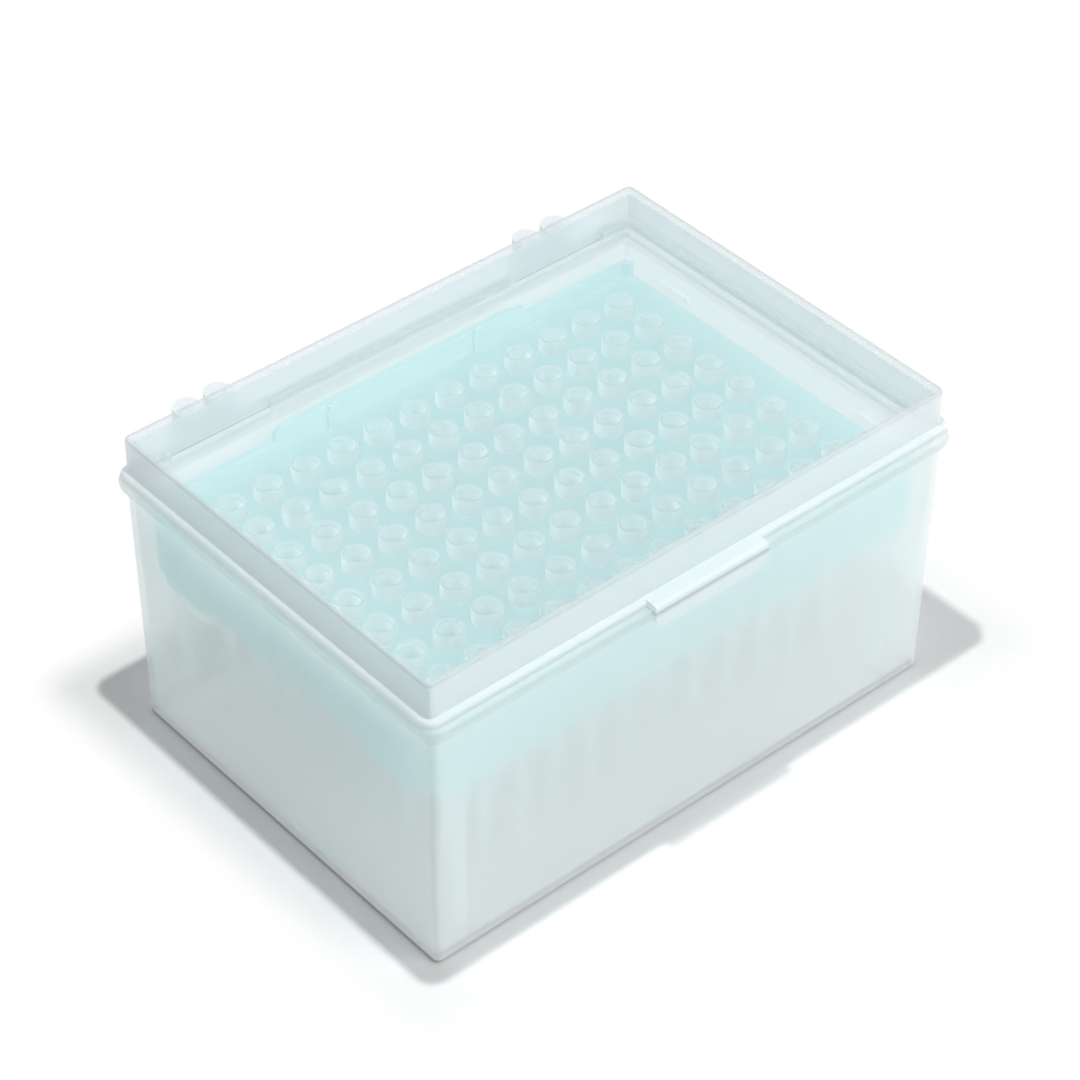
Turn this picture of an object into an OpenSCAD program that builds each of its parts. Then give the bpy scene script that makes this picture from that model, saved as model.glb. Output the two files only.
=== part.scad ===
// Box of 200 microlitre pipette tips: a hinged box, a lift-out tip tray and 96 tips.
// X runs along the length, the latch is at -Y, the hinges are at +Y, Z is up.
// The origin is the middle of the base's underside. All sizes are in millimetres.

/* [Tip grid] */
// Distance between neighbouring tips, along and across the tray
tip_pitch = 9; // [8.6:0.1:10.5]
// From the outermost holes' middles to the ends of the tray
end_margin = 11.15; // [9:0.05:16]
// From the outermost holes' middles to the long sides of the tray
side_margin = 10.35; // [9:0.05:14]

/* [Tip] */
// Overall length of a tip
tip_length = 50; // [42:1:60]
// Outer diameter just under the collar
tip_body_diameter = 4.9; // [4.4:0.1:5.6]
// How far the collar stands out from the body, where it rests on the tray
collar_step = 0.6; // [0.4:0.05:0.9]
// Height of the collar
collar_height = 3.4; // [2.5:0.1:5]
// Wall of the collar at the open end
collar_wall = 0.6; // [0.5:0.05:0.8]
// Outer diameter where the body turns into the fine nozzle
tip_neck_diameter = 3.4; // [2.6:0.1:4]
// Outer diameter at the fine end
tip_end_diameter = 0.9; // [0.8:0.05:1.2]
// Length of the fine nozzle
nozzle_length = 19; // [12:1:26]
// Wall of the tip below its collar
tip_wall = 0.5; // [0.35:0.05:0.6]
// Bore at the fine end
tip_orifice = 0.45; // [0.3:0.05:0.6]
// Room between the tips' fine ends and the floor
tip_gap = 4; // [2:0.5:10]

/* [Tray] */
// Thickness of the deck
deck_thickness = 1.6; // [1.2:0.1:2.4]
// Thickness of the skirt and the side walls
tray_wall = 1.2; // [1:0.1:1.5]
// Depth of the skirt below the deck's top face
skirt_depth = 14.5; // [11:0.5:18]
// Height of the long side walls above the deck
side_rise = 3.3; // [2.5:0.1:4.5]
// Height of the grips above the side walls
grip_rise = 2.7; // [2:0.1:3.5]
// Length of each grip
grip_length = 63.5; // [50:0.5:76]
// Radius of the tray's upright corners
tray_corner = 2.8; // [2:0.1:4]
// Gap round a tip's body in its hole
hole_clearance = 0.2; // [0.1:0.05:0.3]
// Depth of the short tube under each hole
socket_depth = 3; // [2:0.5:6]
// Wall of that tube
socket_wall = 0.7; // [0.5:0.1:0.9]

/* [Base] */
// Height of the plane where base and lid meet, above the deck
rim_above_deck = 9; // [7:0.5:14]
// Wall thickness
base_wall = 1.2; // [1:0.1:1.5]
// Thickness of the floor
floor_thickness = 1.4; // [1:0.1:2.4]
// How far each wall leans out between the floor and the rim
base_draft = 0.65; // [0.3:0.05:1]
// Radius of the upright corners at the floor
corner_radius = 1.2; // [1:0.1:3]
// Rounding of the floor's outer edge
foot_round = 0.4; // [0.3:0.1:0.9]
// From each end of the base to the ledge ribs that carry the tray
ledge_offset = 9.3; // [6:0.1:16]
// Thickness of the ledge ribs
ledge_thickness = 1.2; // [0.8:0.1:2]

/* [Rim] */
// How far the rim stands out from the wall of the base
base_rim_out = 1.6; // [1.2:0.1:2.2]
// Height of the base's rim
base_rim_height = 3.8; // [2.5:0.1:4.8]
// How far the rim stands out from the wall of the lid
lid_rim_out = 1.3; // [1:0.1:1.8]
// Height of the lid's rim
lid_rim_height = 1.6; // [1.2:0.1:2.4]
// Height of the locating lip above the meeting plane
lip_height = 2.4; // [1.5:0.1:3.2]
// Thickness of the locating lip
lip_thickness = 1.1; // [0.8:0.1:1.4]
// Height of the shoulder that the lip stands on
shoulder_height = 1.6; // [1:0.1:2.4]
// Gap between the lip and the inside of the lid
lip_clearance = 0.2; // [0.15:0.05:0.4]
// Gap between the tray and the lip that it is lifted out through
tray_gap = 0.75; // [0.4:0.05:1.2]

/* [Lid] */
// Height of the lid above the meeting plane
lid_height = 9.5; // [8.5:0.5:16]
// Wall and top thickness
lid_wall = 1.1; // [0.9:0.1:1.4]
// How far each lid wall leans out between the top and the rim
lid_draft = 0.15; // [0.05:0.05:0.3]
// How far the long walls of the lid stand behind those of the base
lid_setback = 0.85; // [0.4:0.05:1.2]
// Radius of the lid's upright corners
lid_corner = 1.5; // [1:0.1:3]
// Rounding of the lid's top edge
lid_edge = 0.5; // [0.3:0.1:0.9]

/* [Latch] */
// Width of the latch tab
latch_width = 28; // [18:1:36]
// How far the tab hangs below the meeting plane
latch_drop = 4.1; // [3:0.1:6]
// Thickness of the tab
latch_thickness = 1.2; // [1:0.1:1.6]
// Radius of the tab's lower corners
latch_corner = 3; // [1:0.1:3.2]
// Gap between the tab and the rim behind it
latch_clearance = 0.35; // [0.3:0.05:0.6]

/* [Hinge] */
// From each end of the base to the middle of a hinge
hinge_from_end = 21.1; // [18:0.1:28]
// Distance between the two knuckles of a hinge
knuckle_spacing = 7.4; // [7.2:0.1:8.6]
// Width of a knuckle
knuckle_width = 5.7; // [5.2:0.1:6.6]
// Height of the knuckles above the meeting plane
knuckle_height = 5.6; // [4:0.1:6.6]
// Wall of the hollow knuckles
knuckle_wall = 1.1; // [0.9:0.1:1.2]
// Gap between a knuckle's round foot and the wall of the base
knuckle_gap = 0.25; // [0.15:0.05:0.4]
// Depth of the pivot below the meeting plane
pivot_drop = 1; // [0.8:0.1:1.4]
// Diameter of the hinge pins
pin_diameter = 2.4; // [2:0.1:2.6]
// Radial gap between a pin and its bores
pin_clearance = 0.05; // [0.03:0.01:0.1]
// Thickness of the ears, which stand inside the knuckles and carry the pins
ear_thickness = 1.2; // [0.9:0.1:1.3]
// Gap round an ear inside its knuckle
ear_gap = 0.1; // [0.05:0.01:0.15]
// How far an ear's foot runs down the wall of the base
ear_depth = 6; // [4:0.5:6.5]

/* [Hidden] */
$fn = 48;
columns = 12;
rows = 8;
// How far pieces of one moulding run into each other where they join
bite = 0.4;
// How far a cutting tool runs past what it cuts
clear = 1;
// Steps of a quarter round in a profile
steps = 6;

// Heights, from the floor up: tips, deck, meeting plane
tip_bottom = floor_thickness + tip_gap;
tip_top = tip_bottom + tip_length;
nozzle_top = tip_bottom + nozzle_length;
deck_height = tip_top - collar_height;
base_height = deck_height + rim_above_deck;

// Tip: the collar and its small chamfer, and the hole that takes the body
collar_diameter = tip_body_diameter + 2 * collar_step;
collar_chamfer = 0.15;
hole_diameter = tip_body_diameter + 2 * hole_clearance;

// Tray: half sizes and the heights of its edges
tray_x = (columns - 1) / 2 * tip_pitch + end_margin;
tray_y = (rows - 1) / 2 * tip_pitch + side_margin;
skirt_bottom = deck_height - skirt_depth;
side_top = deck_height + side_rise;
grip_top = side_top + grip_rise;
// The side walls wrap round the corners this far
wrap = 2.4;
skirt_chamfer = 2.4;
skirt_arch_rise = 2;
skirt_arch_inset = 17;
grip_corner = 2;
grip_rib_x = 18.5;
grip_rib_size = 1;
skirt_rib_x = 33.3;
skirt_rib_width = 1.2;
// How far the ribs stand out from the walls that carry them
rib_stand = 0.6;

// Lip, lid and base, each outside the one before it: half sizes of their walls
lip_in_x = tray_x + tray_gap;
lip_in_y = tray_y + tray_gap;
lip_x = lip_in_x + lip_thickness;
lip_y = lip_in_y + lip_thickness;
lid_x = lip_x + lip_clearance + lid_wall;
lid_y = lip_y + lip_clearance + lid_wall;
rim_x = lid_x;
rim_y = lid_y + lid_setback;
foot_x = rim_x - base_draft;
foot_y = rim_y - base_draft;
lip_corner = 0.6;
// Upright corners inside the walls: concentric with the outside where the wall leaves room
least_inside = 0.3;
base_inside = max(least_inside, corner_radius - base_wall);
lid_inside = max(least_inside, lid_corner - lid_wall);
// The lip stops short here so that the lid's back wall can swing past the hinges
lip_gap_width = 24;

// Small bumps on the end walls just above the deck
bump_length = 8;
bump_y = 29;
bump_size = 0.6;
bump_above_deck = 1;

// Rounded edges of the two rims and of the latch
base_rim_round = 0.9;
lid_rim_round = 0.8;
rim_chamfer = 0.3;

// Hinge: the pivot's place and the rounds about it
hinge_x = rim_x - hinge_from_end;
knuckle_round = knuckle_width / 2;
pivot_y = rim_y + knuckle_round;
pivot_z = base_height - pivot_drop;
foot_radius = knuckle_round - knuckle_gap;
ear_wall = 0.3;
ear_radius = pin_diameter / 2 + ear_wall;
ear_below_rim = 0.1;
ear_taper = 1.3;
pair_width = knuckle_spacing + knuckle_width;
pin_inset = 0.2;
hinge_side_gap = 0.6;

// Latch: inner and outer faces of the tab
latch_in = rim_y + base_rim_out + latch_clearance;
latch_out = latch_in + latch_thickness;

// Points of a quarter ellipse from angle a to angle b about [cx, cy]
function arc(cx, cy, rx, ry, a, b) =
    [for (i = [0:steps]) let (t = a + (b - a) * i / steps) [cx + rx * cos(t), cy + ry * sin(t)]];

// Draws its children and their mirror image across one plane
module both(plane) {
    children();
    mirror(plane) children();
}

// Draws its children in all four quarters
module four() {
    both([1, 0, 0]) both([0, 1, 0]) children();
}

// Rectangle with rounded corners, given by its half sizes
module rounded(x, y, r) {
    square([2 * x, 2 * (y - r)], center = true);
    square([2 * (x - r), 2 * y], center = true);
    four() translate([x - r, y - r]) circle(r);
}

// Sweeps a profile round a rectangle: its first coordinate is the distance outwards from the
// rectangle with half sizes x and y, and its second is the height
module sweep(x, y, points) {
    both([0, 1, 0]) translate([-x, y, 0]) rotate([90, 0, 90]) linear_extrude(2 * x) polygon(points);
    both([1, 0, 0]) translate([x, y, 0]) rotate([90, 0, 0]) linear_extrude(2 * y) polygon(points);
    four() translate([x, y, 0]) rotate_extrude(angle = 90) polygon(points);
}

// Block with its middle filled: the profile, which starts and ends over the rectangle, is swept
// round it, and a box fills the rectangle between the heights low and high
module block(x, y, low, high, points) {
    sweep(x, y, concat([[0, low]], points, [[0, high]]));
    translate([-x, -y, low]) cube([2 * x, 2 * y, high - low]);
}

// Ring between two rounded rectangles, standing on its lower face
module ring(x, y, r, inner_x, inner_y, inner_r, height) {
    linear_extrude(height) difference() {
        rounded(x, y, r);
        rounded(inner_x, inner_y, inner_r);
    }
}

// Draws its children at both hinges
module at_hinges() {
    for (side = [-1, 1]) translate([side * hinge_x, 0, 0]) children();
}

// Draws its children at the two knuckles of each hinge
module at_knuckles() {
    at_hinges() for (side = [-1, 1]) translate([side * knuckle_spacing / 2, 0, 0]) children();
}

// Floor and four walls of the base with their rounded foot
module base_shell() {
    r = corner_radius;
    f = foot_round;
    i = base_inside;
    difference() {
        block(foot_x - r, foot_y - r, 0, base_height, concat(
            arc(r - f, f, f, f, -90, 0),
            [[r + base_draft, base_height]]
        ));
        block(foot_x - base_wall - i, foot_y - base_wall - i, floor_thickness, base_height + clear, [
            [i + base_draft * floor_thickness / base_height, floor_thickness],
            [i + base_draft, base_height],
            [i + base_draft, base_height + clear]
        ]);
    }
}

// Rounded bead round the top of the base
module base_rim() {
    r = corner_radius + base_draft;
    edge = base_rim_round;
    fullest = base_height - edge;
    sweep(rim_x - r, rim_y - r, concat(
        [[r - bite, base_height - base_rim_height]],
        arc(r - bite / 4, fullest, base_rim_out + bite / 4, base_rim_height - edge, -90, 0),
        arc(r + base_rim_out - edge, fullest, edge, edge, 0, 90),
        [[r - bite, base_height]]
    ));
}

// Locating lip on its shoulder
module base_lip() {
    translate([0, 0, base_height - shoulder_height])
        ring(rim_x - bite, rim_y - bite, corner_radius, lip_in_x, lip_in_y, lip_corner, shoulder_height);
    difference() {
        translate([0, 0, base_height - shoulder_height])
            ring(
                lip_x, lip_y, lip_corner + lip_thickness,
                lip_in_x, lip_in_y, lip_corner,
                shoulder_height + lip_height
            );
        at_hinges() translate([-lip_gap_width / 2, 0, base_height])
            cube([lip_gap_width, rim_y, lip_height + clear]);
    }
}

// Ribs on the long walls, two near each end, whose tops carry the tray's skirt
module ledge_ribs() {
    root = foot_y - base_wall / 2;
    reach = root - (tray_y - tray_wall - rib_stand);
    four() translate([foot_x - ledge_offset, root - reach, floor_thickness - bite])
        cube([ledge_thickness, reach, skirt_bottom - floor_thickness + bite]);
}

// Ear on the back wall, in the middle of a knuckle, with a pin through its round end
module hinge_ear() {
    root = rim_y - bite;
    pin_length = knuckle_width - 2 * pin_inset;
    translate([-ear_thickness / 2, 0, 0]) rotate([90, 0, 90]) linear_extrude(ear_thickness) {
        translate([pivot_y, pivot_z]) circle(ear_radius);
        polygon([
            [root, base_height - ear_below_rim],
            [pivot_y, base_height - ear_below_rim],
            [pivot_y, pivot_z],
            [pivot_y - ear_taper, pivot_z - pin_diameter / 2],
            [root, pivot_z - ear_depth]
        ]);
    }
    translate([-pin_length / 2, pivot_y, pivot_z]) rotate([0, 90, 0])
        cylinder(h = pin_length, d = pin_diameter);
}

// Small rounded bumps on the end walls
module retaining_bumps() {
    x = rim_x - base_wall - base_draft / 4;
    four() translate([x, bump_y - bump_length / 2, deck_height + bump_above_deck])
        rotate([-90, 0, 0]) cylinder(h = bump_length, r = bump_size);
}

module base() {
    color([0.86, 0.91, 0.91, 0.5]) {
        base_shell();
        difference() {
            base_rim();
            at_hinges() translate([-pair_width / 2 - hinge_side_gap, 0, 0])
                cube([pair_width + 2 * hinge_side_gap, 2 * rim_y, 2 * base_height]);
        }
        base_lip();
        ledge_ribs();
        retaining_bumps();
        at_knuckles() hinge_ear();
    }
}

// Top and four walls of the lid, drawn with the meeting plane at z = 0
module lid_shell() {
    r = lid_corner;
    i = lid_inside;
    e = lid_inside / 2;
    ceiling = lid_height - lid_wall;
    difference() {
        block(lid_x - r, lid_y - r, 0, lid_height, concat(
            [[r + lid_draft, 0]],
            arc(r - lid_edge, lid_height - lid_edge, lid_edge, lid_edge, 0, 90)
        ));
        block(lid_x - lid_wall - i, lid_y - lid_wall - i, -clear, ceiling, concat(
            [[i + lid_draft, -clear], [i + lid_draft, 0]],
            arc(i - e, ceiling - e, e, e, 0, 90)
        ));
    }
}

// Rounded bead round the foot of the lid
module lid_rim() {
    r = lid_corner + lid_draft;
    edge = lid_rim_round;
    gap = pair_width - knuckle_wall;
    difference() {
        sweep(lid_x - lid_corner, lid_y - lid_corner, concat(
            [[r - bite, 0], [r + lid_rim_out - rim_chamfer, 0], [r + lid_rim_out, rim_chamfer]],
            arc(r + lid_rim_out - edge, lid_rim_height - edge, edge, edge, 0, 90),
            [[r - bite, lid_rim_height]]
        ));
        at_hinges() translate([-gap / 2, 0, -clear]) cube([gap, 2 * rim_y, lid_rim_height + 2 * clear]);
    }
}

// Latch tab with its shelf, drawn with the meeting plane at z = 0
module latch_tab() {
    w = latch_width;
    edge = lid_rim_round;
    root = lid_y + lid_draft - bite;
    intersection() {
        translate([-w / 2, 0, 0]) mirror([0, 1, 0]) rotate([90, 0, 90]) linear_extrude(w) polygon(concat(
            [[root, 0], [latch_in, 0], [latch_in, -latch_drop], [latch_out - rim_chamfer, -latch_drop]],
            [[latch_out, rim_chamfer - latch_drop]],
            arc(latch_out - edge, lid_rim_height - edge, edge, edge, 0, 90),
            [[root, lid_rim_height]]
        ));
        translate([0, -root, 0]) rotate([90, 0, 0]) linear_extrude(latch_out) {
            translate([-w / 2, latch_corner - latch_drop]) square([w, latch_drop + 2 * lid_rim_height]);
            translate([latch_corner - w / 2, -latch_drop]) square([w - 2 * latch_corner, latch_drop]);
            both([1, 0]) translate([w / 2 - latch_corner, latch_corner - latch_drop]) circle(latch_corner);
        }
    }
}

// Plan of a knuckle, inset by a wall: straight sides from the lid and a round end
module knuckle_plan(inset) {
    r = knuckle_round - inset;
    root = lid_y + lid_draft - bite;
    translate([0, pivot_y]) circle(r);
    translate([-r, root]) square([2 * r, pivot_y - root]);
}

// Hollow knuckle: an upright column, open below and towards the base, whose side walls end in
// round feet bored for the pin; its end wall stops at the pivot so that the ear can swing out
module knuckle() {
    inner = knuckle_width - 2 * knuckle_wall;
    slot = ear_thickness + 2 * ear_gap;
    reach = ear_radius + ear_gap;
    below = pivot_z - knuckle_round - clear;
    difference() {
        union() {
            translate([0, 0, base_height]) linear_extrude(knuckle_height) knuckle_plan(0);
            translate([0, 0, pivot_z]) linear_extrude(pivot_drop) intersection() {
                knuckle_plan(0);
                translate([-knuckle_width, pivot_y]) square([2 * knuckle_width, knuckle_width]);
            }
            translate([-knuckle_round, pivot_y, pivot_z]) rotate([0, 90, 0])
                cylinder(h = knuckle_width, r = foot_radius);
        }
        translate([0, 0, below]) linear_extrude(base_height + knuckle_height - knuckle_wall - below)
            knuckle_plan(knuckle_wall);
        translate([-inner / 2, pivot_y, below]) cube([inner, knuckle_width, pivot_z - below]);
        translate([-slot / 2, pivot_y, below]) cube([slot, reach, pivot_z + reach - below]);
        translate([-knuckle_width, pivot_y, pivot_z]) rotate([0, 90, 0])
            cylinder(h = 2 * knuckle_width, r = pin_diameter / 2 + pin_clearance);
    }
}

module lid() {
    color([0.88, 0.93, 0.93, 0.5]) {
        translate([0, 0, base_height]) {
            lid_shell();
            lid_rim();
            latch_tab();
        }
        at_knuckles() knuckle();
    }
}

// Centre of the hole in a column and a row of the grid
function hole(column, row) = [(column - (columns - 1) / 2) * tip_pitch, (row - (rows - 1) / 2) * tip_pitch];

// Draws its children at every hole of the grid
module at_holes() {
    for (column = [0:columns - 1], row = [0:rows - 1]) translate(hole(column, row)) children();
}

// Skirt under the deck, with chamfered lower corners and an arch in each short side
module skirt() {
    arch = 2 * (tray_y - skirt_arch_inset);
    difference() {
        translate([0, 0, skirt_bottom]) ring(
            tray_x, tray_y, tray_corner,
            tray_x - tray_wall, tray_y - tray_wall, tray_corner - tray_wall,
            skirt_depth
        );
        translate([-2 * tray_x, -arch / 2, skirt_bottom - clear])
            cube([4 * tray_x, arch, clear + skirt_arch_rise]);
        four() translate([tray_x, tray_y + clear, skirt_bottom]) rotate([90, 0, 0])
            linear_extrude(tray_corner + 2 * clear)
                polygon([[-skirt_chamfer, 0], [clear, 0], [clear, skirt_chamfer], [0, skirt_chamfer]]);
    }
}

// Outline of a long side wall seen from the front, with the grip in its middle
module side_outline() {
    half = grip_length / 2;
    translate([-tray_x, deck_height - deck_thickness]) square([2 * tray_x, side_rise + deck_thickness]);
    translate([-half, side_top - bite]) square([2 * half, grip_rise + bite - grip_corner]);
    translate([grip_corner - half, side_top]) square([2 * (half - grip_corner), grip_rise]);
    both([1, 0]) translate([half - grip_corner, grip_top - grip_corner]) circle(grip_corner);
}

// Long side wall above the deck; it wraps round both corners
module side_wall() {
    intersection() {
        translate([0, 0, deck_height - deck_thickness]) ring(
            tray_x, tray_y, tray_corner,
            tray_x - tray_wall, tray_y - tray_wall, tray_corner - tray_wall,
            side_rise + grip_rise + deck_thickness
        );
        translate([0, tray_y + clear, 0]) rotate([90, 0, 0]) linear_extrude(wrap + clear) side_outline();
    }
}

// Upright ribs inside the grips and inside the long sides of the skirt
module tray_ribs() {
    face = tray_y - tray_wall - rib_stand;
    four() {
        translate([grip_rib_x - grip_rib_size / 2, face, deck_height - bite])
            cube([grip_rib_size, rib_stand + bite, grip_top - deck_height]);
        translate([skirt_rib_x - skirt_rib_width / 2, face, skirt_bottom + clear])
            cube([skirt_rib_width, rib_stand + bite, skirt_depth - deck_thickness]);
    }
}

module tray() {
    socket_bottom = deck_height - deck_thickness - socket_depth;
    color([0.68, 0.88, 0.89, 0.75]) {
        difference() {
            union() {
                translate([0, 0, deck_height - deck_thickness]) linear_extrude(deck_thickness)
                    rounded(tray_x - bite, tray_y - bite, tray_corner - bite);
                at_holes() translate([0, 0, socket_bottom])
                    cylinder(h = socket_depth + bite, d = hole_diameter + 2 * socket_wall);
            }
            at_holes() translate([0, 0, socket_bottom - clear])
                cylinder(h = deck_thickness + socket_depth + 2 * clear, d = hole_diameter);
        }
        skirt();
        both([0, 1, 0]) side_wall();
        tray_ribs();
    }
}

// One hollow tip, standing in its hole with the collar on the deck
module tip() {
    rotate_extrude() polygon([
        [tip_orifice / 2, tip_bottom],
        [tip_end_diameter / 2, tip_bottom],
        [tip_neck_diameter / 2, nozzle_top],
        [tip_body_diameter / 2, deck_height],
        [collar_diameter / 2, deck_height],
        [collar_diameter / 2, tip_top - collar_chamfer],
        [collar_diameter / 2 - collar_chamfer, tip_top],
        [collar_diameter / 2 - collar_wall, tip_top],
        [tip_body_diameter / 2 - tip_wall, deck_height],
        [tip_neck_diameter / 2 - tip_wall, nozzle_top]
    ]);
}

// One column of tips, front to back
module tips_column(number) {
    color([0.84, 0.94, 0.95, 0.7])
        for (row = [0:rows - 1]) translate(hole(number - 1, row)) tip();
}

base();
lid();
tray();
for (number = [1:columns]) {
    tips_column(number);
}
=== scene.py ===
"""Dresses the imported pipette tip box: plastics, detailed tips, floor, lights and camera."""

import logging
import math
from dataclasses import dataclass
from enum import Enum

import bpy
from mathutils import Matrix, Vector


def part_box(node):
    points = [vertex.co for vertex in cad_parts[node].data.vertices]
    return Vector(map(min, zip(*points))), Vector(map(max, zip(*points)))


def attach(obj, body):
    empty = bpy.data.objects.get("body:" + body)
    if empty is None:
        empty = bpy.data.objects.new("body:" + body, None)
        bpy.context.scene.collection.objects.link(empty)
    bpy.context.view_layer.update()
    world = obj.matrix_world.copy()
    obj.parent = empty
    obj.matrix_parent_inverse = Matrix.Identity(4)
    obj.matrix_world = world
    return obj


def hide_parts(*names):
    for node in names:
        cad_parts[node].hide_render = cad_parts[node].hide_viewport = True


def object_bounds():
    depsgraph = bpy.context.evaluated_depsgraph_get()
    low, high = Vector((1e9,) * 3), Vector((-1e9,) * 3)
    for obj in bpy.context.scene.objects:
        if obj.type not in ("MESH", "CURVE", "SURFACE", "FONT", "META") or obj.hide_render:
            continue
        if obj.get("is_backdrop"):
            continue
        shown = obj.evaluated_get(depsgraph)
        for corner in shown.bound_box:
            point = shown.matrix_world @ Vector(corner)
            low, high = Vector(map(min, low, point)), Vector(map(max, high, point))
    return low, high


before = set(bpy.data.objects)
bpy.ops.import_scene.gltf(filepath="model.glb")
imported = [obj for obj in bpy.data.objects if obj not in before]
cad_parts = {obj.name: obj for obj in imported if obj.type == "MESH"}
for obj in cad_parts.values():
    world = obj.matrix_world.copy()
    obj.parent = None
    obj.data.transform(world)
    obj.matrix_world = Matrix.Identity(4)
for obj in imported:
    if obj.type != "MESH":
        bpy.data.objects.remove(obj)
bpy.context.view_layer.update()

LOG = logging.getLogger("tip_box")
MM = 0.001
ROWS = 8
COLUMNS = 12
PITCH = 9 * MM
FIRST_SEED = 40

# What all plastics share: the soft border of a zone inside a moulding, their flow marks and their grain.
BORDER = 0.2 * MM
MARK_DETAIL = 3
MARK_TWIST = 0.6
TINT_SPAN = (0.35, 0.75)
POLISH_SPAN = (0.3, 0.7)
GRAIN_DETAIL = 2
GRAIN_DEPTH = 0.25

Colour = tuple[float, float, float]
Profile = list[tuple[float, float]]
Tree = bpy.types.NodeTree
Node = bpy.types.Node
Socket = bpy.types.NodeSocket
Material = bpy.types.Material
Piece = bpy.types.Object


class Body(Enum):
    """Bodies that the new pieces ride on."""

    BOX = "box"


class Slot(Enum):
    """Material slot names meant for the new pieces; nothing in this script uses them."""

    TIP = "tip_plastic"


# ---------------------------------------------------------------- finishes


def viewed(tree: Tree) -> Socket:
    """Adds the nodes that tell a viewer's ray, straight, mirrored or through plastic, from one that lights.

    Args:
        tree: The node tree that needs to know.

    Returns:
        Socket that gives 1 for a viewer's ray and 0 for one that lights.
    """
    path = tree.nodes.new("ShaderNodeLightPath")
    share = path.outputs["Is Camera Ray"]
    for ray in ("Is Transmission Ray", "Is Glossy Ray"):
        either = tree.nodes.new("ShaderNodeMath")
        either.operation = "MAXIMUM"
        tree.links.new(share, either.inputs[0])
        tree.links.new(path.outputs[ray], either.inputs[1])
        share = either.outputs[0]
    return share


def ramp(tree: Tree, source: Socket, spans: tuple[float, ...]) -> Socket:
    """Adds a node that turns one range of numbers into another.

    Args:
        tree: The material's node tree.
        source: Socket that gives the number.
        spans: Start and end of the range that comes in, then of the one that goes out.

    Returns:
        The socket that gives the new number.
    """
    node = tree.nodes.new("ShaderNodeMapRange")
    for name, value in zip(("From Min", "From Max", "To Min", "To Max"), spans):
        node.inputs[name].default_value = value
    tree.links.new(source, node.inputs["Value"])
    return node.outputs["Result"]


def noise(tree: Tree, size: float, detail: float) -> Node:
    """Adds a noise that stays in its place on the piece.

    Args:
        tree: The material's node tree.
        size: Size of its blotches in metres.
        detail: How much finer noise lies in them.

    Returns:
        The node of the noise.
    """
    place = tree.nodes.new("ShaderNodeTexCoord")
    node = tree.nodes.new("ShaderNodeTexNoise")
    node.inputs["Scale"].default_value = 1 / size
    node.inputs["Detail"].default_value = detail
    tree.links.new(place.outputs["Object"], node.inputs["Vector"])
    return node


def blend(tree: Tree, first: Node, second: Node, share: float | Socket) -> Node:
    """Adds a node that mixes two finishes.

    Args:
        tree: The material's node tree.
        first: Node of the first finish.
        second: Node of the second finish.
        share: Share of the second, from 0 to 1, or the socket that gives it.

    Returns:
        The node that mixes them.
    """
    node = tree.nodes.new("ShaderNodeMixShader")
    if isinstance(share, Socket):
        tree.links.new(share, node.inputs["Fac"])
    else:
        node.inputs["Fac"].default_value = share
    tree.links.new(first.outputs[0], node.inputs[1])
    tree.links.new(second.outputs[0], node.inputs[2])
    return node


def scale(tree: Tree, colour: Socket, inside: Socket, factor: float) -> None:
    """Makes a colour brighter or darker inside a zone.

    Args:
        tree: The material's node tree.
        colour: Socket that takes the colour.
        inside: Socket that tells how far a point is inside the zone.
        factor: What the colour is multiplied by there.
    """
    node = tree.nodes.new("ShaderNodeVectorMath")
    node.operation = "SCALE"
    if colour.is_linked:
        tree.links.new(colour.links[0].from_socket, node.inputs[0])
    else:
        node.inputs[0].default_value = colour.default_value[:3]
    tree.links.new(ramp(tree, inside, (0, 1, 1, factor)), node.inputs["Scale"])
    tree.links.new(node.outputs[0], colour)


@dataclass(frozen=True)
class Zone:
    """Upper or lower part of a moulding whose plastic differs from the rest, or whose tint is darkened
    there as painted shade.

    Args:
        start: Height where the change starts, in metres.
        end: Height where it is complete, in metres.
        clear: Share of the light that passes through the surface there, if it differs.
        haze: Share of milky scattering there, if it differs.
        rough: Roughness there, if it differs.
        tone: What the tint is multiplied by there; below 1 this is painted shade, above 1 it lifts painted
            shade from another zone back.
        half: Half length and half width of the zone if it doesn't reach the outside, in metres.
        sheet: Thickness in metres if the zone is a sheet, whose leaving light doesn't scatter.
        lets_in: How much more light than elsewhere passes there to the pieces below.
    """

    start: float
    end: float
    clear: float | None = None
    haze: float | None = None
    rough: float | None = None
    tone: float = 1.0
    half: tuple[float, float] | None = None
    sheet: float = 0.0
    lets_in: float = 1.0

    def area(self, tree: Tree, drop: float = 0.0) -> Socket:
        """Adds the nodes that tell how far a point is inside the zone.

        Args:
            tree: The material's node tree.
            drop: How much lower the zone is taken to lie, in metres.

        Returns:
            Socket that gives 0 outside and 1 inside.
        """
        place = tree.nodes.new("ShaderNodeTexCoord")
        split = tree.nodes.new("ShaderNodeSeparateXYZ")
        tree.links.new(place.outputs["Object"], split.inputs[0])
        inside = ramp(tree, split.outputs["Z"], (self.start - drop, self.end - drop, 0, 1))
        for axis, half in zip("XY", self.half or ()):
            side = tree.nodes.new("ShaderNodeMath")
            side.operation = "ABSOLUTE"
            tree.links.new(split.outputs[axis], side.inputs[0])
            both = tree.nodes.new("ShaderNodeMath")
            both.operation = "MINIMUM"
            tree.links.new(inside, both.inputs[0])
            tree.links.new(ramp(tree, side.outputs[0], (half + BORDER, half, 0, 1)), both.inputs[1])
            inside = both.outputs[0]
        return inside


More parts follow.
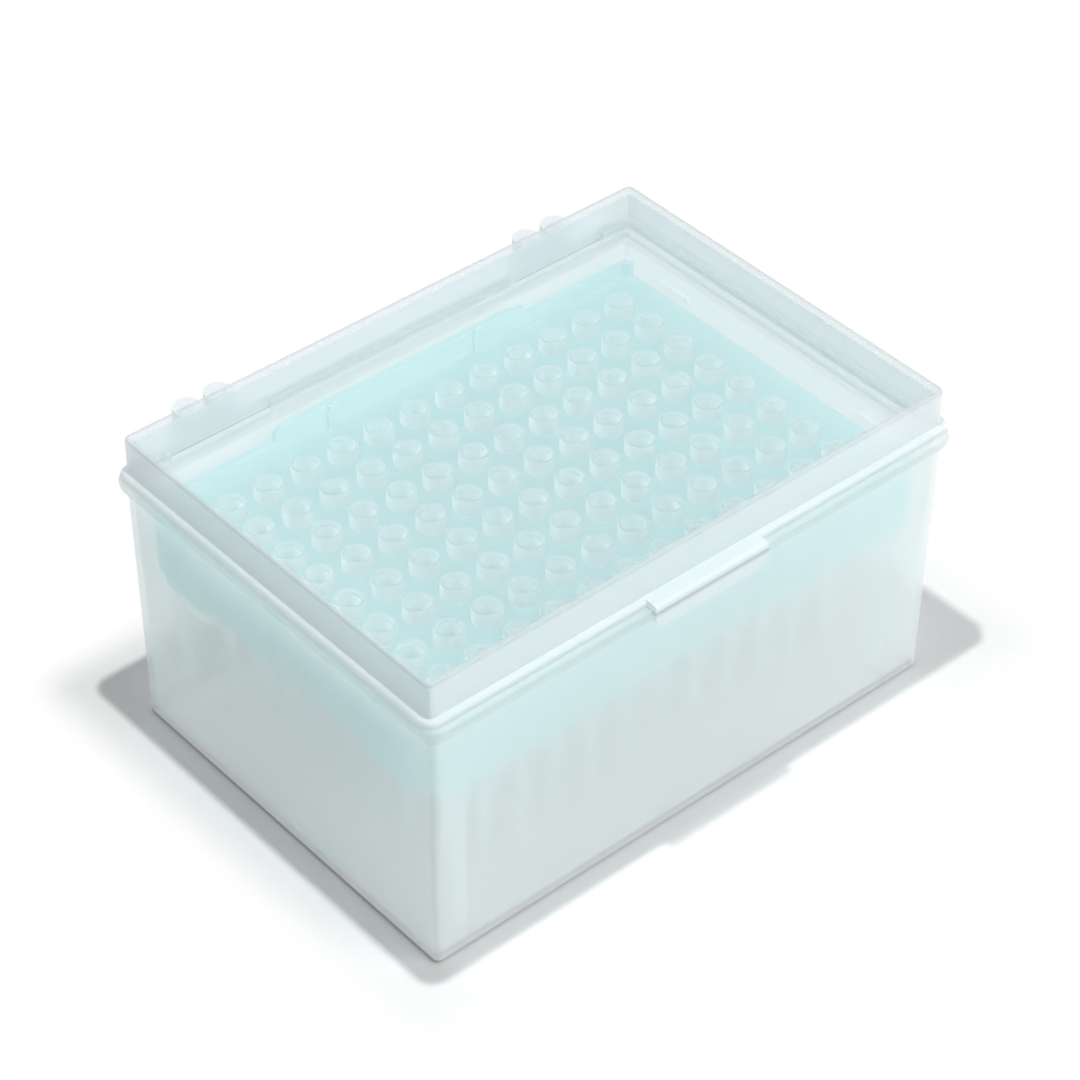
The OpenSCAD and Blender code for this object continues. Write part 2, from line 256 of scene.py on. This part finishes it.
@dataclass(frozen=True)
class Plastic:
    """Moulded translucent plastic: light scatters where it enters a wall, and a little where it leaves.

    Args:
        name: The material's name.
        pale: Tint where the plastic is thinnest or cleanest.
        deep: Tint in the flow marks.
        clear: Share of the light that passes through the surface, from 0 to 1.
        smooth: Lowest roughness.
        rough: Highest roughness.
        haze: Share of milky scattering, from 0 to 1.
        milk: Colour of that scattering.
        flow: Size of the flow marks in metres.
        grain: Size of the surface grain in metres.
        relief: Strength of the grain.
        shade: Tint of the light that a shadow ray keeps at each face.
        bend: Index of refraction of the wall.
        gloss: Strength of the shine on its skin.
        shine: Roughness of that shine.
        inner: Share of milky scattering where the light leaves a wall.
        zones: Parts of the moulding whose plastic differs, or whose tint carries painted shade.
    """

    name: str
    pale: Colour
    deep: Colour
    clear: float
    smooth: float
    rough: float
    haze: float
    milk: Colour
    flow: float
    grain: float
    relief: float
    shade: Colour
    bend: float = 1.1
    gloss: float = 0.6
    shine: float = 0.25
    inner: float = 0.0
    zones: tuple[Zone, ...] = ()

    def add_grain(self, tree: Tree) -> Socket:
        """Adds the fine grain of the surface.

        Args:
            tree: The material's node tree.

        Returns:
            Socket that gives the direction the grained surface faces.
        """
        bump = tree.nodes.new("ShaderNodeBump")
        bump.inputs["Strength"].default_value = self.relief
        bump.inputs["Distance"].default_value = self.grain * GRAIN_DEPTH
        tree.links.new(noise(tree, self.grain, GRAIN_DETAIL).outputs["Fac"], bump.inputs["Height"])
        return bump.outputs["Normal"]

    def add_skin(self, tree: Tree, normal: Socket) -> Node:
        """Adds the surface where light enters, with flow marks in its tint and its polish.

        Args:
            tree: The material's node tree.
            normal: Socket that gives the direction the surface faces.

        Returns:
            The node of the surface.
        """
        marks = noise(tree, self.flow, MARK_DETAIL)
        marks.inputs["Distortion"].default_value = MARK_TWIST
        tint = tree.nodes.new("ShaderNodeValToRGB")
        for stop, share, colour in zip(tint.color_ramp.elements, TINT_SPAN, (self.pale, self.deep)):
            stop.position = share
            stop.color = (*colour, 1)
        tree.links.new(marks.outputs["Fac"], tint.inputs["Fac"])
        polish = ramp(tree, marks.outputs["Fac"], (*POLISH_SPAN, self.smooth, self.rough))
        skin = tree.nodes.new("ShaderNodeBsdfPrincipled")
        skin.inputs["Transmission Weight"].default_value = self.clear
        skin.inputs["IOR"].default_value = self.bend
        skin.inputs["Coat Weight"].default_value = self.gloss
        skin.inputs["Coat Roughness"].default_value = self.shine
        tree.links.new(tint.outputs["Color"], skin.inputs["Base Color"])
        tree.links.new(polish, skin.inputs["Roughness"])
        tree.links.new(normal, skin.inputs["Normal"])
        return skin

    def add_milk(self, tree: Tree, kind: str) -> Node:
        """Adds a milky finish.

        Args:
            tree: The material's node tree.
            kind: Name of its node type.

        Returns:
            The node of the milky finish.
        """
        milk = tree.nodes.new(kind)
        milk.inputs["Color"].default_value = (*self.milk, 1)
        return milk

    def add_zone(
        self, tree: Tree, zone: Zone, skin: Node, entering: Node, leaving: Node, passed: Node
    ) -> None:
        """Changes the plastic over one zone.

        Args:
            tree: The material's node tree.
            zone: The zone.
            skin: The node of its surface.
            entering: The node that mixes the haze into the surface.
            leaving: The node that mixes in the scattering of leaving light.
            passed: The node of the light that a shadow ray keeps.
        """
        link, inside = tree.links.new, zone.area(tree)
        for socket, usual, changed in (
            (skin.inputs["Transmission Weight"], self.clear, zone.clear),
            (entering.inputs["Fac"], self.haze, zone.haze),
            (skin.inputs["Roughness"], self.rough, zone.rough),
        ):
            if changed is None:
                continue
            before = socket.links[0].from_socket if socket.is_linked else None
            after = ramp(tree, inside, (0, 1, usual, changed))
            if before:
                link(before, after.node.inputs["To Min"])
            link(after, socket)
        # A zone's tint factor darkens the base colour as painted shade, or lifts such painted shade back.
        if zone.tone != 1:
            scale(tree, skin.inputs["Base Color"], inside, zone.tone)
        if zone.lets_in != 1:
            scale(tree, passed.inputs["Color"], inside, zone.lets_in)
        if zone.sheet:
            sheet = zone.area(tree, zone.sheet)
            link(ramp(tree, sheet, (0, 1, self.inner, 0)), leaving.inputs["Fac"])

    def build(self) -> Material:
        """Makes the material.

        Returns:
            The finished material.
        """
        material = bpy.data.materials.new(self.name)
        material.use_nodes = True
        tree = material.node_tree
        tree.nodes.clear()
        normal = self.add_grain(tree)
        skin = self.add_skin(tree, normal)
        milk = self.add_milk(tree, "ShaderNodeBsdfTranslucent")
        tree.links.new(normal, milk.inputs["Normal"])
        entering = blend(tree, skin, milk, self.haze)
        through = tree.nodes.new("ShaderNodeBsdfTransparent")
        leaving = blend(tree, through, self.add_milk(tree, "ShaderNodeBsdfDiffuse"), self.inner)
        passed = tree.nodes.new("ShaderNodeBsdfTransparent")
        passed.inputs["Color"].default_value = (*self.shade, 1)
        for zone in self.zones:
            self.add_zone(tree, zone, skin, entering, leaving, passed)
        side = tree.nodes.new("ShaderNodeNewGeometry")
        wall = blend(tree, entering, leaving, side.outputs["Backfacing"])
        path = tree.nodes.new("ShaderNodeLightPath")
        cast = blend(tree, wall, passed, path.outputs["Is Shadow Ray"])
        out = tree.nodes.new("ShaderNodeOutputMaterial")
        tree.links.new(cast.outputs["Shader"], out.inputs["Surface"])
        return material


@dataclass(frozen=True)
class WhiteFloor:
    """Plain white floor that keeps the shadow and fades to clean white around it.

    Args:
        name: The material's name.
        paint: Colour of the floor.
        middle: Middle of the shadow on the floor, in metres.
        half: Half length and half width of the shadow, in metres.
        fade: How far past the shadow's edge the floor turns plain white, in metres.
        rough: Roughness of the paint.
        gloss: Specular level of the paint.
        size: Half width of the floor, in metres.
    """

    name: str = "white_floor"
    paint: Colour = (0.86, 0.86, 0.86)
    middle: tuple[float, float] = (0.0062, 0.0045)
    half: tuple[float, float] = (0.0752, 0.0543)
    fade: float = 0.012
    rough: float = 0.45
    gloss: float = 0.3
    size: float = 1.5

    def build(self) -> Material:
        """Makes the material.

        Returns:
            The finished material.
        """
        material = bpy.data.materials.new(self.name)
        material.use_nodes = True
        tree = material.node_tree
        tree.nodes.clear()
        link = tree.links.new
        paint = tree.nodes.new("ShaderNodeBsdfPrincipled")
        paint.inputs["Base Color"].default_value = (*self.paint, 1)
        paint.inputs["Roughness"].default_value = self.rough
        paint.inputs["Specular IOR Level"].default_value = self.gloss

        away = tree.nodes.new("ShaderNodeTexCoord").outputs["Object"]
        for operation, other in (
            ("SUBTRACT", (*self.middle, 0)),
            ("ABSOLUTE", (0, 0, 0)),
            ("SUBTRACT", (*self.half, 1)),
            ("MAXIMUM", (0, 0, 0)),
            ("LENGTH", (0, 0, 0)),
        ):
            step = tree.nodes.new("ShaderNodeVectorMath")
            step.operation = operation
            step.inputs[1].default_value = other
            link(away, step.inputs[0])
            away = step.outputs["Value" if operation == "LENGTH" else "Vector"]
        fade = tree.nodes.new("ShaderNodeMapRange")
        fade.interpolation_type = "SMOOTHSTEP"
        fade.inputs["From Max"].default_value = self.fade
        link(away, fade.inputs["Value"])
        share = tree.nodes.new("ShaderNodeMath")
        share.operation = "MULTIPLY"
        link(fade.outputs["Result"], share.inputs[0])
        link(viewed(tree), share.inputs[1])
        plain = tree.nodes.new("ShaderNodeEmission")
        plain.inputs["Strength"].default_value = 1.0
        mix = blend(tree, paint, plain, share.outputs[0])
        out = tree.nodes.new("ShaderNodeOutputMaterial")
        link(mix.outputs["Shader"], out.inputs["Surface"])
        return material


BOX_PLASTIC = Plastic(
    name="frosted_box_plastic",
    pale=(0.94, 0.995, 0.995),
    deep=(0.93, 0.985, 0.985),
    clear=0.63,
    smooth=0.66,
    rough=0.78,
    haze=0.15,
    milk=(0.90, 0.96, 0.96),
    flow=0.045,
    grain=0.0006,
    relief=0.1,
    shade=(0.29, 0.275, 0.275),
    bend=1.05,
    gloss=0.5,
    shine=0.5,
    inner=0.15,
    zones=(
        # Foot: opaque, and its tint halved as a painted contact shadow where it meets the floor.
        Zone(0.001, 0.0004, clear=0.0, haze=0.0, rough=0.6, tone=0.5),  # foot
        Zone(0.0386, 0.0392, rough=0.28),  # wall in front of the tray's skirt, and above
        # Rim and lip: rougher, with the tint darkened as painted shade so the up-lit bead does not glow.
        Zone(0.0562, 0.0568, rough=0.78, tone=0.85),  # rim and lip
    ),
)
LID_PLASTIC = Plastic(
    name="clear_lid_plastic",
    pale=(0.89, 0.945, 0.96),
    deep=(0.88, 0.935, 0.95),
    clear=0.45,
    smooth=0.32,
    rough=0.42,
    haze=0.12,
    milk=(0.88, 0.93, 0.94),
    flow=0.05,
    grain=0.0008,
    relief=0.05,
    shade=(0.5, 0.49, 0.49),
    bend=1.001,
    gloss=0.6,
    shine=0.5,
    inner=0.3,
    zones=(
        # Lower edge of the rim and below: tint darkened as painted shade so the up-lit flange does not
        # glow.
        Zone(0.0614, 0.0612, tone=0.6),  # lower edge of the rim, and below
        # Latch tab and knuckles: clearer, with the tint lifted back to about its usual level from the
        # painted shade above.
        Zone(0.0609, 0.0600, clear=0.5, tone=1.65),  # latch tab and knuckles under it
        # Inside faces of the walls: tint darkened as painted shade against the side lamp's light on them.
        Zone(0.0692, 0.0690, tone=0.88, half=(0.0634, 0.0446)),  # inside of the walls
        # Top edge: tint darkened as painted shade so the up-lit edge does not glow.
        Zone(0.0695, 0.0702, tone=0.75),  # top edge
        # Clear top: its tint lifted back from the top edge's painted shade; it also lets more lamp light
        # through to the pieces below.
        Zone(  # clear top
            0.0699,
            0.0701,
            clear=0.86,
            haze=0.08,
            rough=0.08,
            tone=1.28,
            half=(0.0628, 0.044),
            sheet=0.001,
            lets_in=1.59,
        ),
    ),
)
TRAY_PLASTIC = Plastic(
    name="aqua_tray_plastic",
    pale=(0.72, 0.93, 0.94),
    deep=(0.69, 0.90, 0.91),
    clear=0.15,
    smooth=0.38,
    rough=0.5,
    haze=0.4,
    milk=(0.72, 0.94, 0.95),
    flow=0.02,
    grain=0.0005,
    relief=0.1,
    shade=(0.59, 0.67, 0.67),
    bend=1.05,
    gloss=0.3,
)
TIP_PLASTIC = Plastic(
    name="natural_tip_plastic",
    pale=(0.92, 0.985, 0.99),
    deep=(0.91, 0.975, 0.985),
    clear=0.3,
    smooth=0.3,
    rough=0.38,
    haze=0.82,
    milk=(0.97, 1.0, 1.0),
    flow=0.004,
    grain=0.0005,
    relief=0.06,
    shade=(0.9, 0.905, 0.905),
    bend=1.05,
    gloss=0.6,
)


# ---------------------------------------------------------------- helpers


def lathe(name: str, profile: Profile, sides: int, sharp: float = 38.0) -> Piece:
    """Turns a closed profile round the Z axis.

    Args:
        name: Name of the new object.
        profile: Closed loop of (radius, height) in metres, anticlockwise.
        sides: Faces round the axis.
        sharp: Edges that turn by more than this many degrees stay crisp.

    Returns:
        The new object.
    """
    points, faces, count = [], [], len(profile)
    for side in range(sides):
        turn = 2 * math.pi * side / sides
        points += [(r * math.cos(turn), r * math.sin(turn), z) for r, z in profile]
    for side in range(sides):
        here, there = side * count, (side + 1) % sides * count
        for i in range(count):
            j = (i + 1) % count
            faces.append((here + i, there + i, there + j, here + j))
    mesh = bpy.data.meshes.new(name)
    mesh.from_pydata(points, [], faces)
    mesh.shade_smooth()
    mesh.set_sharp_from_angle(angle=math.radians(sharp))
    piece = bpy.data.objects.new(name, mesh)
    bpy.context.scene.collection.objects.link(piece)
    return piece


def dress(piece: Piece, finish: Material) -> None:
    """Gives a whole piece one finish.

    Args:
        piece: The piece, new or carried over.
        finish: Its material.
    """
    piece.data.materials.clear()
    piece.data.materials.append(finish)
    for face in piece.data.polygons:
        face.material_index = 0


def settle(piece: Piece) -> None:
    """Turns a piece's modifiers into a plain mesh.

    Args:
        piece: Piece with live modifiers.
    """
    bpy.context.view_layer.update()
    view = bpy.context.evaluated_depsgraph_get()
    mesh = bpy.data.meshes.new_from_object(piece.evaluated_get(view), depsgraph=view)
    piece.modifiers.clear()
    piece.data = mesh


def report(piece: Piece) -> None:
    """Logs a piece's name and how many faces it has."""
    LOG.info("%s: %d faces", piece.name, len(piece.data.polygons))


# ---------------------------------------------------------------- sub-assemblies


@dataclass
class TipSet:
    """The tips: one lathe-turned tip, repeated column by column by a node tree.

    Args:
        finish: Material of the tips.
        sides: Faces round a tip.
        lean: Largest tilt of a tip about each level axis, in radians.
        collar: Height of the collar.
        collar_wall: Wall of the collar at its open end.
        body: Radius of the body just under the collar.
        neck: Radius where the body turns into the nozzle.
        nozzle: Length of the nozzle.
        end: Radius of the nozzle's fine end.
        end_bore: Radius of the opening there.
        wall: Wall of the tip.
        edge: Size of the rounding on the collar's rim.
    """

    finish: Material
    sides: int = 26
    lean: float = 0.006
    collar: float = 3.4 * MM
    collar_wall: float = 0.6 * MM
    body: float = 2.45 * MM
    neck: float = 1.7 * MM
    nozzle: float = 19 * MM
    end: float = 0.42 * MM
    end_bore: float = 0.24 * MM
    wall: float = 0.5 * MM
    edge: float = 0.22 * MM

    def profile(self, low: float, high: float, radius: float) -> Profile:
        """Works out the outline of one tip's wall.

        Args:
            low: Height of the fine end.
            high: Height of the open end.
            radius: Outer radius of the collar.

        Returns:
            Closed loop of (radius, height), anticlockwise.
        """
        seat, knee, edge = high - self.collar, low + self.nozzle, self.edge
        bore = radius - self.collar_wall
        return [
            (self.end_bore, low),
            (self.end, low),
            (self.end + 0.04 * MM, low + 0.1 * MM),
            (self.neck, knee),
            (self.body, seat),
            (radius - 0.1 * MM, seat),
            (radius, seat + 0.12 * MM),
            (radius, high - edge * 1.6),
            (radius - edge * 0.3, high - edge * 0.5),
            (radius - edge, high),
            (bore + 0.12 * MM, high),
            (bore, high - 0.14 * MM),
            (bore - 0.05 * MM, high - 0.7 * MM),
            (bore - 0.3 * MM, high - 0.95 * MM),
            (self.body - self.wall, seat),
            (self.neck - self.wall, knee),
        ]

    def tree(self) -> Tree:
        """Builds the node tree that stands a column of tips in its row of holes.

        Returns:
            The node tree.
        """
        tree = bpy.data.node_groups.new("tip_column", "GeometryNodeTree")
        face = tree.interface
        for name, kind in (
            ("Geometry", "Geometry"),
            ("Tip", "Object"),
            ("Rows", "Int"),
            ("Start", "Vector"),
            ("Step", "Vector"),
            ("Lean", "Float"),
            ("Seed", "Int"),
            ("Finish", "Material"),
        ):
            face.new_socket(name, in_out="INPUT", socket_type=f"NodeSocket{kind}")
        face.new_socket("Geometry", in_out="OUTPUT", socket_type="NodeSocketGeometry")
        link, new = tree.links.new, tree.nodes.new
        given = new("NodeGroupInput").outputs
        line = new("GeometryNodeMeshLine")
        link(given["Rows"], line.inputs["Count"])
        link(given["Start"], line.inputs["Start Location"])
        link(given["Step"], line.inputs["Offset"])
        tip = new("GeometryNodeObjectInfo")
        tip.inputs["As Instance"].default_value = True
        link(given["Tip"], tip.inputs["Object"])
        most = new("ShaderNodeCombineXYZ")
        most.inputs["Z"].default_value = math.pi
        link(given["Lean"], most.inputs["X"])
        link(given["Lean"], most.inputs["Y"])
        least = new("ShaderNodeVectorMath")
        least.operation = "SCALE"
        least.inputs["Scale"].default_value = -1
        link(most.outputs[0], least.inputs[0])
        turn = new("FunctionNodeRandomValue")
        turn.data_type = "FLOAT_VECTOR"
        link(least.outputs[0], turn.inputs[0])
        link(most.outputs[0], turn.inputs[1])
        link(given["Seed"], turn.inputs["Seed"])
        stand = new("GeometryNodeInstanceOnPoints")
        link(line.outputs["Mesh"], stand.inputs["Points"])
        link(tip.outputs["Geometry"], stand.inputs["Instance"])
        link(turn.outputs[0], stand.inputs["Rotation"])
        real = new("GeometryNodeRealizeInstances")
        link(stand.outputs["Instances"], real.inputs["Geometry"])
        paint = new("GeometryNodeSetMaterial")
        link(real.outputs["Geometry"], paint.inputs["Geometry"])
        link(given["Finish"], paint.inputs["Material"])
        link(paint.outputs["Geometry"], new("NodeGroupOutput").inputs["Geometry"])
        return tree

    def column(self, tree: Tree, tip: Piece, number: int, seat: float) -> Piece:
        """Makes one column of tips from the node tree.

        Args:
            tree: The node tree.
            tip: The tip that it repeats, whose origin is on the seat.
            number: Number of the column, from 1.
            seat: Height of the deck that the collars stand on.

        Returns:
            The column as a plain mesh.
        """
        x = (number - 1 - (COLUMNS - 1) / 2) * PITCH
        name = f"tips_{number:02d}"
        piece = bpy.data.objects.new(name, bpy.data.meshes.new(name))
        bpy.context.scene.collection.objects.link(piece)
        build = piece.modifiers.new("column", "NODES")
        build.node_group = tree
        values = {
            "Tip": tip,
            "Rows": ROWS,
            "Start": (x, -(ROWS - 1) / 2 * PITCH, seat),
            "Step": (0, PITCH, 0),
            "Lean": self.lean,
            "Seed": FIRST_SEED + number,
            "Finish": self.finish,
        }
        for socket in tree.interface.items_tree:
            if socket.in_out == "INPUT" and socket.name in values:
                build[socket.identifier] = values[socket.name]
        settle(piece)
        return piece

    def build(self) -> None:
        """Makes the twelve columns in place of the plain ones."""
        low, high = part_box("tips_column_01")
        seat = high.z - self.collar
        profile = [(r, z - seat) for r, z in self.profile(low.z, high.z, (high.x - low.x) / 2)]
        tip, tree = lathe("one_tip", profile, self.sides), self.tree()
        for number in range(1, COLUMNS + 1):
            piece = self.column(tree, tip, number, seat)
            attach(piece, Body.BOX.value)
            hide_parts(f"tips_column_{number:02d}")
            report(piece)
        bpy.data.objects.remove(tip)


@dataclass
class Mouldings:
    """The carried-over mouldings: base, lid and tray.

    Args:
        box: Material of the base.
        lid: Material of the lid.
        tray: Material of the tray.
    """

    box: Material
    lid: Material
    tray: Material

    def build(self) -> None:
        """Dresses the three mouldings."""
        for name, finish in (("base", self.box), ("lid", self.lid), ("tray", self.tray)):
            dress(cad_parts[name], finish)
            report(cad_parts[name])


@dataclass
class Studio:
    """Floor, lights, background and camera.

    Args:
        lamp_place: Where the overhead lamp hangs.
        lamp_size: Diameter of the lamp.
        lamp_power: Power of the lamp in watts.
        fill_place: Where the soft lamp stands that lights the latch side.
        fill_size: Width of the soft lamp.
        fill_power: Power of the soft lamp in watts.
        sky: Strength of the even light from all round.
        eye: Where the camera stands.
        azimuth: Direction of the camera round the object, in degrees.
        elevation: Height of the camera above the horizon, in degrees.
        roll: Turn of the camera about its own axis, in degrees.
        lens: Focal length in millimetres.
        sensor: Width of the sensor in millimetres.
        reach: Nearest and farthest distance that the camera shows, in metres.
    """

    lamp_place: tuple[float, float, float] = (-0.0445, -0.034, 0.49)
    lamp_size: float = 0.015
    lamp_power: float = 1.2
    fill_place: tuple[float, float, float] = (0.55, -0.9, 0.5)
    fill_size: float = 0.8
    fill_power: float = 7.1
    sky: float = 0.365
    eye: tuple[float, float, float] = (-0.32828, -0.37757, 0.46743)
    azimuth: float = -41.073
    elevation: float = 40.572
    roll: float = 0.364
    lens: float = 112.86
    sensor: float = 36
    reach: tuple[float, float] = (0.01, 10)

    def floor(self) -> None:
        """Lays the floor just under the object."""
        paint = WhiteFloor()
        mesh = bpy.data.meshes.new("floor")
        half, z = paint.size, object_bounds()[0].z
        corners = [(-half, -half, z), (half, -half, z), (half, half, z), (-half, half, z)]
        mesh.from_pydata(corners, [], [(0, 1, 2, 3)])
        floor = bpy.data.objects.new("floor", mesh)
        bpy.context.scene.collection.objects.link(floor)
        dress(floor, paint.build())
        floor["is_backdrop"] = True

    def lamp(self, name: str, place: tuple[float, float, float], size: float, power: float) -> None:
        """Hangs a round lamp that points at the object.

        Args:
            name: The lamp's name.
            place: Where it hangs.
            size: Its diameter.
            power: Its power in watts.
        """
        light = bpy.data.lights.new(name, "AREA")
        light.shape = "DISK"
        light.size = size
        light.energy = power
        lamp = bpy.data.objects.new(name, light)
        lamp.location = place
        lamp.rotation_euler = Vector(place).to_track_quat("Z", "Y").to_euler()
        bpy.context.scene.collection.objects.link(lamp)

    def world(self) -> None:
        """Surrounds the scene with an even white that looks plain white to the viewer."""
        world = bpy.data.worlds.new("white_room")
        world.use_nodes = True
        tree = world.node_tree
        tree.nodes.clear()
        link = tree.links.new
        strength = tree.nodes.new("ShaderNodeMapRange")
        strength.inputs["To Min"].default_value = self.sky
        strength.inputs["To Max"].default_value = 1.0
        link(viewed(tree), strength.inputs["Value"])
        room = tree.nodes.new("ShaderNodeBackground")
        link(strength.outputs["Result"], room.inputs["Strength"])
        room.inputs["Color"].default_value = (1, 1, 1, 1)
        out = tree.nodes.new("ShaderNodeOutputWorld")
        link(room.outputs["Background"], out.inputs["Surface"])
        bpy.context.scene.world = world

    def camera(self) -> None:
        """Stands the camera at the viewing angle."""
        a, e, r = (math.radians(v) for v in (self.azimuth, self.elevation, self.roll))
        back = Vector((math.sin(a) * math.cos(e), -math.cos(a) * math.cos(e), math.sin(e)))
        level = Vector((math.cos(a), math.sin(a), 0))
        rise = back.cross(level)
        right = level * math.cos(r) + rise * math.sin(r)
        up = rise * math.cos(r) - level * math.sin(r)
        data = bpy.data.cameras.new("camera")
        data.lens, data.sensor_width = self.lens, self.sensor
        data.clip_start, data.clip_end = self.reach
        camera = bpy.data.objects.new("camera", data)
        camera.matrix_world = Matrix.Translation(self.eye) @ Matrix((right, up, back)).transposed().to_4x4()
        bpy.context.scene.collection.objects.link(camera)
        bpy.context.scene.camera = camera

    def build(self) -> None:
        """Sets up the studio with a plain view transform."""
        self.floor()
        self.lamp("overhead", self.lamp_place, self.lamp_size, self.lamp_power)
        self.lamp("soft_side", self.fill_place, self.fill_size, self.fill_power)
        self.world()
        self.camera()
        bpy.context.scene.view_settings.view_transform = "Standard"


def main() -> None:
    """Builds every sub-assembly in order."""
    logging.basicConfig(level=logging.INFO, format="%(name)s %(message)s")
    Mouldings(BOX_PLASTIC.build(), LID_PLASTIC.build(), TRAY_PLASTIC.build()).build()
    TipSet(TIP_PLASTIC.build()).build()
    Studio().build()


if __name__ == "__main__":
    main()
